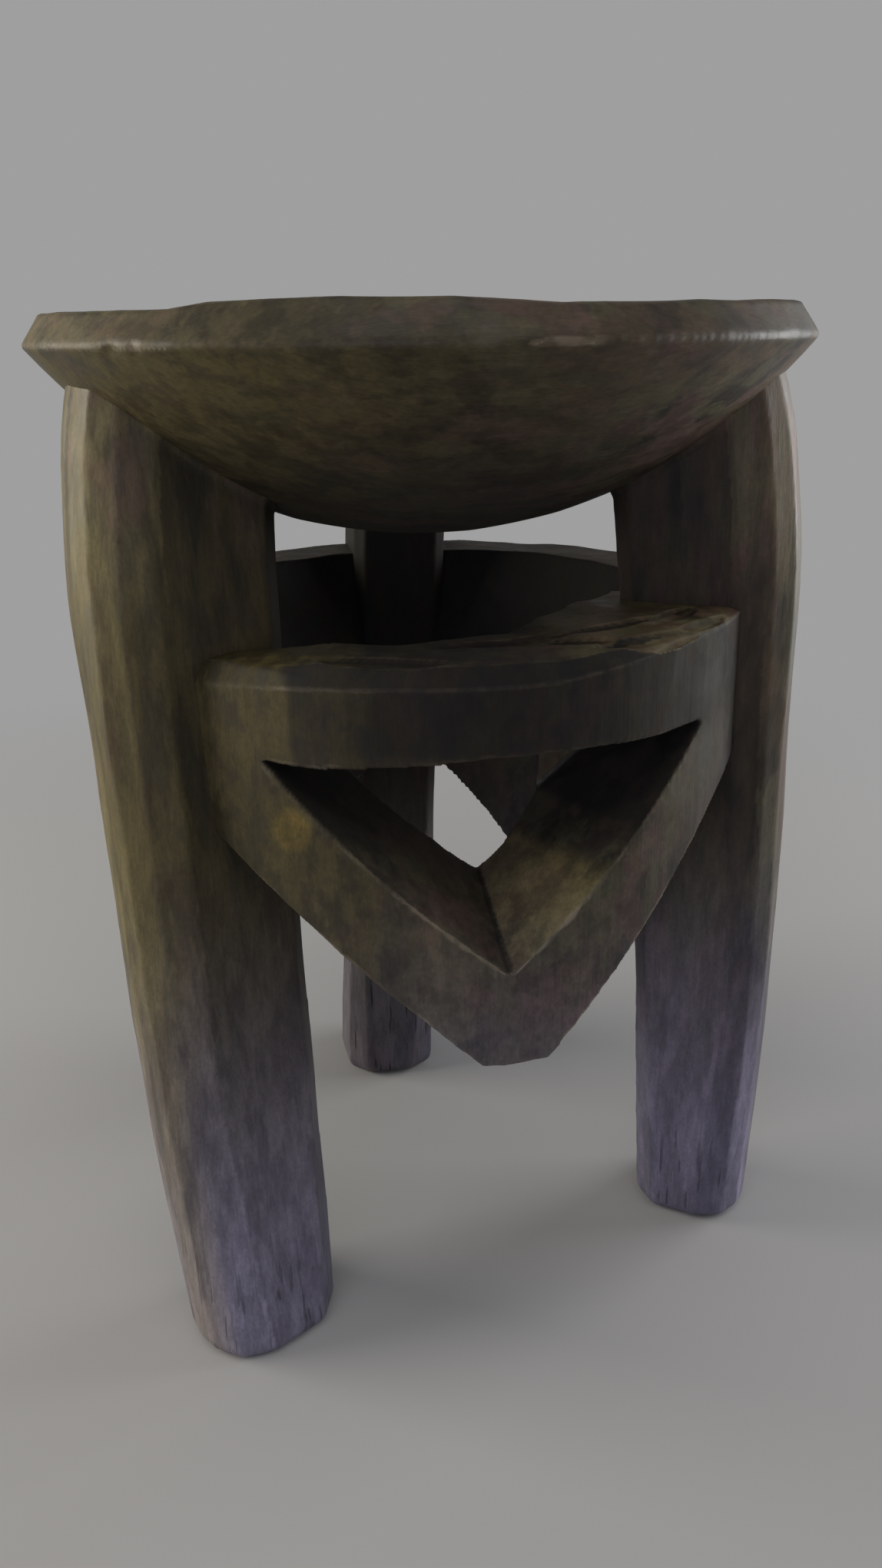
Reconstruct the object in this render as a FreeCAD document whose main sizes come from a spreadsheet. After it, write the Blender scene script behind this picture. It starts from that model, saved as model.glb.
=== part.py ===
import FreeCAD, Part

import itertools
import os

import Sketcher

# Three-legged carved stool: a bowl-bottomed seat, three legs and a ring of three stretcher panels.
# Millimetres. +Z is up, the floor is z = 0 and the origin lies on the floor under the seat's centre.
# The front panel faces -Y. Each member is drawn about the stool's upright axis, with its own middle
# on the local X axis, and is then turned to its place.

# Driving dimensions
SIZES = {
    # seat
    "stool_height": 470.0,
    "rim_radius": 172.5,
    "rim_band_height": 13.6,
    "rim_band_lean": 8.9,
    "rim_flat_width": 10.0,
    "dish_depth": 22.0,
    "bowl_depth": 83.7,
    # legs, all three: how far the outer side lies in from the rim, the depth towards the axis, the width
    "foot_inset": 8.0,
    "foot_depth": 63.6,
    "foot_width": 59.9,
    "shin_inset": 1.6,
    "shin_depth": 70.0,
    "shin_width": 52.6,
    "knee_inset": 0.6,
    "knee_depth": 76.2,
    "knee_width": 50.6,
    "thigh_inset": 3.4,
    "thigh_depth": 80.0,
    "thigh_width": 52.4,
    "shoulder_inset": 9.0,
    "shoulder_depth": 77.5,
    "shoulder_width": 53.6,
    "crown_inset": 17.0,
    "crown_depth": 72.0,
    "crown_width": 54.8,
    "sole_chamfer": 3.0,
    # legs, one by one: how far the foot stands aside and out
    "left_foot_aside": 35.0,
    "left_foot_out": -5.9,
    "right_foot_aside": 26.2,
    "right_foot_out": 10.0,
    "back_foot_aside": 19.8,
    "back_foot_out": -1.5,
    # ring of panels
    "ring_drop": 126.4,
    "ring_set_back": 24.0,
    "band_depth": 36.4,
    "band_chamfer_height": 8.4,
    "band_chamfer_width": 4.6,
    "ring_top_thickness": 38.0,
    "ring_tip_thickness": 61.0,
    "panel_end_height": 64.0,
    "window_height": 93.0,
    "window_margin": 9.6,
    "window_floor_rise": 21.0,
    "back_ceiling_drop": 16.0,
    "tip_depth": 43.0,
    "tip_width": 29.0,
    # joints
    "tenon_radius": 20.0,
    "tenon_inset": 48.0,
    "tenon_cover": 30.0,
    "tongue_setting": 12.0,
    "tongue_thickness": 19.0,
    "tongue_margin": 5.0,
    "tongue_web": 26.0,
    "fit_gap": 0.2,
    # how far a cutting shape runs past what it cuts
    "overrun": 5.0,
}

# Degrees. Where each leg's top stands round the axis, from +X; how far the sole's worn edge leans in
ANGLES = {
    "left_leg_angle": 200.7,
    "right_leg_angle": -29.0,
    "back_leg_angle": 84.8,
    "sole_lean_angle": 45.0,
    "full_turn_angle": 360.0,
}

# How large each foot is against the common foot; the difference fades out towards the seat
SCALES = {
    "left_foot_scale": 1.07,
    "right_foot_scale": 0.91,
    "back_foot_scale": 1.023,
}

# The leg's stations, as shares of the height at which the rim is widest
STATION_SHARES = {
    "foot": 0.0,
    "shin": 0.30,
    "knee": 0.60,
    "thigh": 0.86,
    "shoulder": 0.94,
    "crown": 1.0,
}

# Half of a leg's section, from the inner side outwards, as shares of its depth and of half its width.
# Each corner is the arris between two adzed facets that run the whole length of the leg.
FOOT_OUTLINE_SHARES = ((0.00, 0.45), (0.17, 0.90), (0.60, 1.02), (0.84, 0.86), (0.965, 0.50), (1.00, 0.16))
LEG_OUTLINE_SHARES = ((0.00, 0.74), (0.09, 0.97), (0.69, 1.08), (0.87, 0.92), (0.975, 0.55), (1.00, 0.17))

# A panel's end is cut by its leg's sides, carried on this far inwards past the leg's inner side
END_CUT_SHARE = 0.12

# The window narrows inwards to this share of its width at the front
WINDOW_BACK_SHARE = 0.654

# The panels whose window has a ceiling that drops inwards, as well as a floor that rises
DROPPED_CEILINGS = ("panel_back_right", "panel_back_left")

LEGS = ("left", "right", "back")

# Each panel's node, with the leg at its clockwise end and the leg at its other end
PANELS = {
    "panel_front": ("left", "right"),
    "panel_back_right": ("right", "back"),
    "panel_back_left": ("back", "left"),
}

doc = FreeCAD.newDocument("stool")
sheet = doc.addObject("Spreadsheet::Sheet", "Sizes")


# Spreadsheet

row_numbers = itertools.count(1)


def cell(alias, text):
    """Adds one row to the sheet: its name in column A, its value or formula in column B."""
    row = next(row_numbers)
    sheet.set(f"A{row}", alias)
    sheet.set(f"B{row}", text)
    sheet.setAlias(f"B{row}", alias)


for table in (SIZES, ANGLES, SCALES):
    for alias, value in table.items():
        cell(alias, repr(value))

# Seat heights and radii
cell("arris_height", "=stool_height - rim_band_height")
cell("seat_top_radius", "=rim_radius - rim_band_lean")
cell("dish_radius", "=seat_top_radius - rim_flat_width")
cell("bowl_bottom_height", "=arris_height - bowl_depth")
cell("tenon_offset", "=rim_radius - tenon_inset")
cell("tenon_top_height", "=stool_height - tenon_cover")

# Ring heights and radii
cell("ring_height", "=stool_height - ring_drop")
cell("ring_radius", "=rim_radius - ring_set_back")
cell("ring_chamfer_radius", "=ring_radius - band_chamfer_width")
cell("ring_chamfer_foot", "=ring_height - band_chamfer_height")
cell("ring_inner_top", "=ring_radius - ring_top_thickness")
cell("ring_inner_tip", "=ring_radius - ring_tip_thickness")
cell("window_top_height", "=ring_height - band_depth")
cell("window_apex_height", "=window_top_height - window_height")
cell("window_floor_height", "=window_apex_height + window_floor_rise")
cell("back_ceiling_height", "=window_top_height - back_ceiling_drop")
cell("tip_height", "=window_apex_height - tip_depth")
cell("panel_end_foot", "=ring_height - panel_end_height")
cell("tongue_outer_radius", "=ring_radius - tongue_setting")
cell("tongue_inner_radius", "=tongue_outer_radius - tongue_thickness")
cell("tongue_middle_radius", "=(tongue_outer_radius + tongue_inner_radius) / 2")
cell("tongue_top_height", "=ring_height - tongue_margin")
cell("tongue_foot_height", "=window_top_height + tongue_margin")
cell("tongue_height", "=(tongue_top_height + tongue_foot_height) / 2")
cell("web_angle", "=asin(tongue_web / 2 / tongue_middle_radius)")
cell("tongue_end_angle", "=asin((tongue_web / 2 + fit_gap) / tongue_middle_radius)")
cell("leg_side_angle", "=asin(knee_width / 2 / ring_radius)")

# Each leg's own size and place at each station
for leg in LEGS:
    for station, share in STATION_SHARES.items():
        fade = f"(1 - {share})"
        size = f"(1 + ({leg}_foot_scale - 1) * {fade})"
        own = f"{leg}_leg_{station}"
        cell(f"{own}_depth", f"={station}_depth * {size}")
        cell(f"{own}_half_width", f"={station}_width / 2 * {size}")
        middle = f"rim_radius - {station}_inset - {station}_depth / 2 + {leg}_foot_out * {fade}"
        cell(f"{own}_inner", f"={middle} - {own}_depth / 2")
        cell(f"{own}_aside", f"={leg}_foot_aside * {fade}")
        cell(f"{own}_height", f"=sole_chamfer + (arris_height - sole_chamfer) * {share}")
    aside = f"{leg}_foot_aside * (1 - tongue_height / arris_height)"
    cell(f"{leg}_ring_turn", f"=asin(({aside}) / tongue_middle_radius)")
    cell(f"{leg}_ring_angle", f"={leg}_leg_angle * 1 deg + {leg}_ring_turn")

# Each panel's middle, its half span between its legs' middles, and its V and window
for panel, (first, second) in PANELS.items():
    start = f"{first}_ring_angle"
    end = f"{second}_ring_angle"
    if ANGLES[f"{second}_leg_angle"] < ANGLES[f"{first}_leg_angle"]:
        end = f"({end} + full_turn_angle * 1 deg)"
    cell(f"{panel}_angle", f"=({start} + {end}) / 2")
    cell(f"{panel}_half_span", f"=({end} - {start}) / 2")
    cell(f"{panel}_side", f"=ring_radius * sin({panel}_half_span - leg_side_angle)")
    cell(f"{panel}_window_front", f"={panel}_side - window_margin")
    ceiling = "back_ceiling_height" if panel in DROPPED_CEILINGS else "window_top_height"
    cell(f"{panel}_ceiling_height", f"={ceiling}")
    left_open = f"({panel}_ceiling_height - window_floor_height) / (window_top_height - window_floor_height)"
    cell(f"{panel}_window_back", f"={panel}_window_front * {WINDOW_BACK_SHARE} * {left_open}")

doc.recompute()


# Sketch helpers

def turned_about(axis):
    """Makes a placement that turns about an axis; an expression then sets its angle."""
    return FreeCAD.Placement(FreeCAD.Vector(), FreeCAD.Rotation(axis, 1))


def amount(expression):
    """Works out an expression in the sheet's values as a plain number."""
    value = sheet.evalExpression(expression)
    return float(getattr(value, "Value", value))


def new_body(name, angle=None):
    """Adds a body and, where an angle is given, turns it about the stool's axis by that sheet value."""
    body = doc.addObject("PartDesign::Body", name)
    body.Label = name
    if angle is not None:
        body.Placement = turned_about(FreeCAD.Vector(0, 0, 1))
        body.setExpression("Placement.Rotation.Angle", angle)
    return body


def new_sketch(body, name, role):
    """Adds a sketch on one of the body's own origin planes."""
    sketch = body.newObject("Sketcher::SketchObject", name)
    plane = [item for item in body.Origin.OriginFeatures if item.Role == role][0]
    sketch.AttachmentSupport = [(plane, "")]
    sketch.MapMode = "FlatFace"
    return sketch


def place_point(sketch, geometry, end, across, up):
    """Ties a point to two distances from the sketch's origin, each an expression in the sheet's values."""
    for kind, text, axis in (("DistanceX", across, -2), ("DistanceY", up, -1)):
        if text == "0":
            sketch.addConstraint(Sketcher.Constraint("PointOnObject", geometry, end, axis))
        else:
            index = sketch.addConstraint(Sketcher.Constraint(kind, -1, 1, geometry, end, amount(text)))
            sketch.setExpression(f"Constraints[{index}]", text)


def arc_about_axis(start, end):
    """Makes the arc between two points, one of them on the upright axis, whose centre is on that axis."""
    lift = (end.x ** 2 + end.y ** 2 - start.x ** 2 - start.y ** 2) / (2 * (end.y - start.y))
    centre = FreeCAD.Vector(0, lift, 0)
    outwards = ((start + end) / 2 - centre).normalize()
    return Part.Arc(start, centre + outwards * (start - centre).Length, end)


def draw_outline(sketch, corners, arcs=()):
    """Draws a closed outline through corners given as pairs of expressions.

    Its edges are straight, apart from those whose index is in arcs, which bend about the upright axis.
    """
    points = [FreeCAD.Vector(amount(across), amount(up), 0) for across, up in corners]
    count = len(points)
    first = sketch.GeometryCount
    ends = []
    for index in range(count):
        start, end = points[index], points[(index + 1) % count]
        if index in arcs:
            edge = sketch.addGeometry(arc_about_axis(start, end))
            gaps = [sketch.getPoint(edge, tip).distanceToPoint(start) for tip in (1, 2)]
            ends.append((1, 2) if gaps[0] < gaps[1] else (2, 1))
        else:
            sketch.addGeometry(Part.LineSegment(start, end))
            ends.append((1, 2))
    for index in range(count):
        following = (index + 1) % count
        joint = (first + index, ends[index][1], first + following, ends[following][0])
        sketch.addConstraint(Sketcher.Constraint("Coincident", *joint))
        if index in arcs:
            sketch.addConstraint(Sketcher.Constraint("PointOnObject", first + index, 3, -2))
    for index, (across, up) in enumerate(corners):
        place_point(sketch, first + index, ends[index][0], across, up)


def draw_circle(sketch, across, up, radius):
    """Draws a circle from its centre and radius, given as expressions."""
    centre = FreeCAD.Vector(amount(across), amount(up), 0)
    edge = sketch.addGeometry(Part.Circle(centre, FreeCAD.Vector(0, 0, 1), amount(radius)))
    place_point(sketch, edge, 3, across, up)
    index = sketch.addConstraint(Sketcher.Constraint("Radius", edge, amount(radius)))
    sketch.setExpression(f"Constraints[{index}]", radius)


def turn_about_axis(body, kind, name, sketch, angle):
    """Turns a sketch about the stool's axis, half to each side of it, as a solid or as a cut."""
    feature = body.newObject(kind, name)
    feature.Profile = sketch
    feature.ReferenceAxis = (sketch, ["V_Axis"])
    feature.Midplane = True
    feature.setExpression("Angle", angle)
    return feature


# Leg

def leg_section(body, name, own, height, shares, turn, gap):
    """Draws one station of a leg: a level outline, its middle set aside from the line that the body's
    X axis makes when it is turned by the given angle."""
    sketch = new_sketch(body, name, "XY_Plane")
    sketch.AttachmentOffset = turned_about(FreeCAD.Vector(0, 0, 1))
    sketch.setExpression("AttachmentOffset.Base.x", f"-Sizes.{own}_aside * sin({turn})")
    sketch.setExpression("AttachmentOffset.Base.y", f"Sizes.{own}_aside * cos({turn})")
    sketch.setExpression("AttachmentOffset.Base.z", height)
    sketch.setExpression("AttachmentOffset.Rotation.Angle", turn)
    outline = list(shares) + [(along, -across) for along, across in reversed(shares)]
    corners = []
    for along, across in outline:
        reach = f"Sizes.{own}_inner - {gap} + (Sizes.{own}_depth + 2 * {gap}) * {along}"
        width = f"(Sizes.{own}_half_width + {gap}) * {across}"
        corners.append((reach, width))
    draw_outline(sketch, corners)
    return sketch


def without_inner_side(shares):
    """Carries the straight side of a leg's outline on inwards, in place of its inner side."""
    (low, narrow), (high, wide) = shares[1], shares[2]
    width = narrow - (wide - narrow) * (low + END_CUT_SHARE) / (high - low)
    return ((-END_CUT_SHARE, width),) + shares[2:]


def leg_loft(body, kind, name, leg, turn="0 deg", gap="0"):
    """Lofts a leg through its stations, as a solid or as the cut that fits a panel's end to its side."""
    cutting = kind == "PartDesign::SubtractiveLoft"
    sections = []
    for station in STATION_SHARES:
        own = f"{leg}_leg_{station}"
        shares = FOOT_OUTLINE_SHARES if station == "foot" else LEG_OUTLINE_SHARES
        if cutting:
            shares = without_inner_side(shares)
        height = f"Sizes.{own}_height"
        sections.append(leg_section(body, f"{name}_{station}", own, height, shares, turn, gap))
    loft = body.newObject(kind, name)
    loft.Profile = sections[0]
    loft.Sections = sections[1:]
    loft.Ruled = False
    return loft


def build_leg(leg):
    """Builds a leg: its shaft, the shoulder cut to the seat's bowl, the top tenon and two side mortises."""
    body = new_body(f"leg_{leg}", f"Sizes.{leg}_leg_angle")
    shaft = leg_loft(body, "PartDesign::AdditiveLoft", f"{leg}_shaft", leg)

    # The sole's edge is worn back all round
    sole = body.newObject("PartDesign::Pad", f"{leg}_sole")
    sole.Profile = shaft.Profile
    sole.Reversed = True
    sole.setExpression("Length", "Sizes.sole_chamfer")
    sole.setExpression("TaperAngle", "-Sizes.sole_lean_angle")

    # The shoulder follows the underside of the seat
    bowl = new_sketch(body, f"{leg}_bowl", "XZ_Plane")
    low = "Sizes.bowl_bottom_height - Sizes.fit_gap"
    high = "Sizes.arris_height - Sizes.fit_gap"
    lid = "Sizes.stool_height"
    corners = [("0", low), ("Sizes.rim_radius", high), ("Sizes.rim_radius", lid), ("0", lid)]
    draw_outline(bowl, corners, arcs=(0,))
    turn_about_axis(body, "PartDesign::Groove", f"{leg}_shoulder", bowl, "Sizes.full_turn_angle")

    # Round tenon for the seat
    root = new_sketch(body, f"{leg}_tenon_root", "XY_Plane")
    root.setExpression("AttachmentOffset.Base.z", f"Sizes.{leg}_leg_thigh_height")
    draw_circle(root, "Sizes.tenon_offset", "0", "Sizes.tenon_radius")
    tenon = body.newObject("PartDesign::Pad", f"{leg}_tenon")
    tenon.Profile = root
    tenon.setExpression("Length", f"Sizes.tenon_top_height - Sizes.{leg}_leg_thigh_height")

    # A mortise in each side for the panels' tongues, with solid wood left between them
    for side, sign in (("near", "-"), ("far", "+")):
        mouth = new_sketch(body, f"{leg}_{side}_mouth", "XZ_Plane")
        mouth.AttachmentOffset = turned_about(FreeCAD.Vector(0, 1, 0))
        floor = f"Sizes.{leg}_ring_turn {sign} Sizes.web_angle"
        mouth.setExpression("AttachmentOffset.Rotation.Angle", floor)
        draw_tongue(mouth, "Sizes.fit_gap")
        mortise = body.newObject("PartDesign::Groove", f"{leg}_{side}_mortise")
        mortise.Profile = mouth
        mortise.ReferenceAxis = (mouth, ["V_Axis"])
        mortise.setExpression("Angle", "2 * Sizes.leg_side_angle")
        mortise.Reversed = side == "near"
    return body


# Panel

def draw_tongue(sketch, gap):
    """Draws the upright section of the tongues, with a gap all round it where it is cut as a mortise."""
    inner = f"Sizes.tongue_inner_radius - {gap}"
    outer = f"Sizes.tongue_outer_radius + {gap}"
    foot = f"Sizes.tongue_foot_height - {gap}"
    top = f"Sizes.tongue_top_height + {gap}"
    draw_outline(sketch, [(inner, foot), (outer, foot), (outer, top), (inner, top)])


def draw_window(sketch, half_width, apex, top):
    """Draws the window's triangle on an upright plane, its flat top under the band."""
    draw_outline(sketch, [("0", apex), (half_width, top), (f"-{half_width}", top)])


def build_panel(name, first, second):
    """Builds a stretcher panel: the ring's band, its V-shaped apron and window, its ends and tongues."""
    angle = f"Sizes.{name}_angle"
    body = new_body(name, angle)

    # A stretch of the ring, chamfered along its outer top edge and thicker towards the tip of the V
    section = new_sketch(body, f"{name}_section", "XZ_Plane")
    corners = [
        ("Sizes.ring_inner_tip", "Sizes.tip_height"),
        ("Sizes.ring_radius", "Sizes.tip_height"),
        ("Sizes.ring_radius", "Sizes.ring_chamfer_foot"),
        ("Sizes.ring_chamfer_radius", "Sizes.ring_height"),
        ("Sizes.ring_inner_top", "Sizes.ring_height"),
    ]
    draw_outline(section, corners)
    turn_about_axis(body, "PartDesign::Revolution", f"{name}_ring", section, f"2 * Sizes.{name}_half_span")

    # The apron's lower edges rise from the tip to the foot of the panel's ends, and past them
    flanks = new_sketch(body, f"{name}_flanks", "YZ_Plane")
    half_tip = "Sizes.tip_width / 2"
    slope = f"(Sizes.panel_end_foot - Sizes.tip_height) / (Sizes.{name}_side - {half_tip})"
    far_height = f"Sizes.tip_height + (Sizes.rim_radius - {half_tip}) * {slope}"
    floor = "Sizes.tip_height - Sizes.overrun"
    for sign in ("", "-"):
        flank = [
            (f"{sign}({half_tip})", floor),
            (f"{sign}({half_tip})", "Sizes.tip_height"),
            (f"{sign}Sizes.rim_radius", far_height),
            (f"{sign}Sizes.rim_radius", floor),
        ]
        draw_outline(flanks, flank)
    cut = body.newObject("PartDesign::Pocket", f"{name}_apron")
    cut.Profile = flanks
    cut.Type = "ThroughAll"
    cut.Midplane = True

    # The window narrows inwards
    front = new_sketch(body, f"{name}_window_front", "YZ_Plane")
    front.setExpression("AttachmentOffset.Base.z", "Sizes.ring_radius + Sizes.overrun")
    draw_window(front, f"Sizes.{name}_window_front", "Sizes.window_apex_height", "Sizes.window_top_height")
    back = new_sketch(body, f"{name}_window_back", "YZ_Plane")
    back.setExpression("AttachmentOffset.Base.z", "Sizes.ring_inner_tip - Sizes.overrun")
    ceiling = f"Sizes.{name}_ceiling_height"
    draw_window(back, f"Sizes.{name}_window_back", "Sizes.window_floor_height", ceiling)
    window = body.newObject("PartDesign::SubtractiveLoft", f"{name}_window")
    window.Profile = front
    window.Sections = [back]
    window.Ruled = True

    # Each end is cut to the side of its leg
    for leg in (first, second):
        turn = f"(Sizes.{leg}_leg_angle * 1 deg - {angle})"
        leg_loft(body, "PartDesign::SubtractiveLoft", f"{name}_{leg}_end", leg, turn, "Sizes.fit_gap")

    # The tongues at both ends are one arc that runs through the band
    tongue = new_sketch(body, f"{name}_tongue", "XZ_Plane")
    draw_tongue(tongue, "0")
    reach = f"2 * (Sizes.{name}_half_span - Sizes.tongue_end_angle)"
    turn_about_axis(body, "PartDesign::Revolution", f"{name}_tongues", tongue, reach)
    return body


# Seat

def build_seat():
    """Builds the seat: a bowl-bottomed slab, its leaning rim band, dished top and three blind mortises."""
    body = new_body("seat")
    section = new_sketch(body, "seat_section", "XZ_Plane")
    corners = [
        ("0", "Sizes.bowl_bottom_height"),
        ("Sizes.rim_radius", "Sizes.arris_height"),
        ("Sizes.seat_top_radius", "Sizes.stool_height"),
        ("Sizes.dish_radius", "Sizes.stool_height"),
        ("0", "Sizes.stool_height - Sizes.dish_depth"),
    ]
    draw_outline(section, corners, arcs=(0, 3))
    turn_about_axis(body, "PartDesign::Revolution", "seat_slab", section, "Sizes.full_turn_angle")

    mouths = new_sketch(body, "seat_mortise_mouths", "XY_Plane")
    floor = "(Sizes.bowl_bottom_height - Sizes.overrun)"
    mouths.setExpression("AttachmentOffset.Base.z", floor)
    for leg in LEGS:
        across = f"Sizes.tenon_offset * cos(Sizes.{leg}_leg_angle * 1 deg)"
        up = f"Sizes.tenon_offset * sin(Sizes.{leg}_leg_angle * 1 deg)"
        draw_circle(mouths, across, up, "Sizes.tenon_radius + Sizes.fit_gap")
    mortises = body.newObject("PartDesign::Pocket", "seat_mortises")
    mortises.Profile = mouths
    mortises.Reversed = True
    mortises.setExpression("Length", f"Sizes.tenon_top_height + Sizes.fit_gap - {floor}")
    return body


members = [build_seat()]
members += [build_leg(leg) for leg in LEGS]
members += [build_panel(name, *legs) for name, legs in PANELS.items()]
doc.recompute()

# Check
failed = [item.Name for item in doc.Objects if "Invalid" in item.State or "Error" in item.State]
if failed:
    raise RuntimeError(f"these did not build: {failed}")
for member in members:
    shape = member.Shape
    if shape.isNull() or not shape.isValid() or len(shape.Solids) != 1:
        raise RuntimeError(f"{member.Label} is not one valid solid")

# Export
os.makedirs("parts", exist_ok=True)
for member in members:
    member.Shape.exportStep(f"parts/{member.Label}.step")
    print(member.Label, round(member.Shape.Volume), "cubic mm")
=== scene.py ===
import math

import bpy
import numpy as np
from bpy.props import FloatProperty, FloatVectorProperty, PointerProperty
from mathutils import Matrix, Vector, noise


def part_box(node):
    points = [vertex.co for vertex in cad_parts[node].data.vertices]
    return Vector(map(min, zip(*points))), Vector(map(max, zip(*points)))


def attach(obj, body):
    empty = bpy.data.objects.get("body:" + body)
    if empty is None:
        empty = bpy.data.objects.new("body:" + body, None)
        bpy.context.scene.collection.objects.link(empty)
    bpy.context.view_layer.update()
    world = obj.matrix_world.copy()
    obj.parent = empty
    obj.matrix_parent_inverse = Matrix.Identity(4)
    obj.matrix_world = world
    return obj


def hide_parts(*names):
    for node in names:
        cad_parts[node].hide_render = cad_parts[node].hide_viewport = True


# A stool cut from one log: a bowl-bottomed seat, three adzed legs and a ring of three stretcher panels,
# all of one dark, smoke-blackened and hand-polished hardwood. Metres, +Z up, the front panel faces -Y.

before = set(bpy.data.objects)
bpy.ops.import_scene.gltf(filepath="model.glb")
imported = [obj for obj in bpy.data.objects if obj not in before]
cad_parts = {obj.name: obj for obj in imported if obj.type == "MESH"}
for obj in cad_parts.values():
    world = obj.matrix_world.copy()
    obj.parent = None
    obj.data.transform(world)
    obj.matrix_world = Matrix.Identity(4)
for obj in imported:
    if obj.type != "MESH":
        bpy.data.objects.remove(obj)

bl_info = {
    "name": "Carved Tripod Stool",
    "version": (1, 0, 0),
    "blender": (4, 5, 0),
    "location": "View3D > Sidebar > Stool",
    "description": "Models a carved three-legged wooden stool over its packed frame",
    "category": "Add Mesh",
}

MM = 0.001
LEGS = ("left", "right", "back")

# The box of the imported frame's seat gives the rim's radius and the stool's height
SEAT_LOW, SEAT_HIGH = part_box("seat")

# Height of the rim's leaning band, from the arris, where the rim is widest, to the top
BAND_HEIGHT = 13.6 * MM

# Long side of the camera's sensor in millimetres
SENSOR_SIDE_MM = 36.0


def linear(code, alpha=None):
    """Turns an sRGB hex colour into linear values, with an alpha where one is given."""
    values = [int(code[index:index + 2], 16) / 255 for index in (1, 3, 5)]
    colour = [value / 12.92 if value <= 0.04045 else ((value + 0.055) / 1.055) ** 2.4 for value in values]
    return colour if alpha is None else colour + [alpha]


# Sizes and colours

def length(name, description, default):
    """A length in metres that a user can change."""
    return FloatProperty(name=name, description=description, default=default, min=0.0, unit="LENGTH")


def angle(name, description, degrees):
    """An angle that a user can change, given in degrees."""
    return FloatProperty(name=name, description=description, default=math.radians(degrees), unit="ROTATION")


def colour(name, description, code):
    """A colour that a user can change, given as sRGB hex."""
    return FloatVectorProperty(name=name, description=description, default=linear(code), size=3,
                               subtype="COLOR", min=0.0, max=1.0)


class StoolSeatSizes(bpy.types.PropertyGroup):
    """Sizes of the seat."""
    height: length("Height", "Top of the rim above the floor", SEAT_HIGH.z)
    rim_radius: length("Rim radius", "Radius at the arris, where the rim is widest", SEAT_HIGH.x)
    band_height: length("Band height", "Height of the rim's leaning band", BAND_HEIGHT)
    band_lean: length("Band lean", "How far the band leans in at the top", 8.9 * MM)
    flat_width: length("Flat width", "Width of the flat round the dish", 10.0 * MM)
    dish_depth: length("Dish depth", "Depth of the dish at its middle", 22.0 * MM)
    bowl_depth: length("Bowl depth", "Depth of the bowl below the arris",
                       SEAT_HIGH.z - BAND_HEIGHT - SEAT_LOW.z)


class StoolLegSizes(bpy.types.PropertyGroup):
    """Sizes that all three legs share."""
    sole_round: length("Sole rounding", "How far the sole's edge is worn round", 8.0 * MM)
    bury: length("Burial", "How far a leg's top runs into the seat", 2.0 * MM)
    fillet: length("Fillet", "How far below the seat a leg begins to flare into it", 4.0 * MM)
    waver: length("Waver", "How far an arris strays from a smooth line", 1.1 * MM)


class StoolPanelSizes(bpy.types.PropertyGroup):
    """Sizes of the ring of panels."""
    ring_radius: length("Ring radius", "Radius of the panels' outer face", 148.5 * MM)
    ring_height: length("Ring height", "Top of the ring above the floor", 343.6 * MM)
    tip_height: length("Tip height", "Lowest edge of the V above the floor", 171.0 * MM)
    tip_radius: length("Inner tip radius", "Radius of the inner face at the tip of the V", 87.5 * MM)
    top_radius: length("Inner top radius", "Radius of the inner face at the top", 110.5 * MM)


class StoolWood(bpy.types.PropertyGroup):
    """Colours of the wood and of what use has left on it."""
    bare: colour("Bare wood", "Brown-grey wood on the open faces", "#42382b")
    deep: colour("Deep wood", "Darker clouds in the wood", "#29251e")
    rose: colour("Rose wood", "Pinkish clouds in the wood", "#4c3b34")
    # Tan also paints a warm light on the left of the stool
    tan: colour("Tan", "Warm olive tan where hands have rubbed", "#4d4528")
    gold: colour("Gold", "Golden tan of one rubbed spot", "#5f4f24")
    olive: colour("Olive", "Greenish patches of old oil", "#42402e")
    # This near-black also paints the shade under the seat and inside the ring, and darkens hollows and checks
    smoke_and_shade: colour("Smoke", "Smoke-blackened wood", "#100f0f")
    # This pale colour also paints the highlights on two stretches of the rim's arris and along the chamfer's
    # foot
    worn: colour("Worn edge", "Pale wood worn bare along the arrises", "#7e7462")
    # Near the feet this cool grey is partly a dusting and partly painted cool light
    dust_and_cool_light: colour("Dust", "Cool grey dust near the feet", "#646276")


class StoolStageSettings(bpy.types.PropertyGroup):
    """The camera's place."""
    distance: length("Distance", "From the stool's axis to the camera, along the floor", 573.9 * MM)
    aside: length("Aside", "How far the camera stands to the right of that line", 5.7 * MM)
    eye: length("Eye height", "Height of the camera", 460.1 * MM)
    azimuth: angle("Azimuth", "Turn of the view about the stool's axis", -11.5)
    pitch: angle("Pitch", "How far the camera looks down", 20.8)
    roll: angle("Roll", "Turn about the line of sight", -0.9)
    focal: FloatProperty(name="Focal length", description="For a sensor with a 36 mm long side",
                         default=27.41, unit="CAMERA")


# Shared modelling steps

def select_only(piece):
    """Deselects everything but one piece and makes it active."""
    bpy.ops.object.select_all(action="DESELECT")
    piece.select_set(True)
    bpy.context.view_layer.objects.active = piece


def finish_with(piece, kind, **settings):
    """Adds a modifier with the given settings and applies it."""
    select_only(piece)
    bpy.ops.object.modifier_add(type=kind)
    modifier = piece.modifiers[-1]
    for name, value in settings.items():
        setattr(modifier, name, value)
    bpy.ops.object.modifier_apply(modifier=modifier.name)


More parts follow.
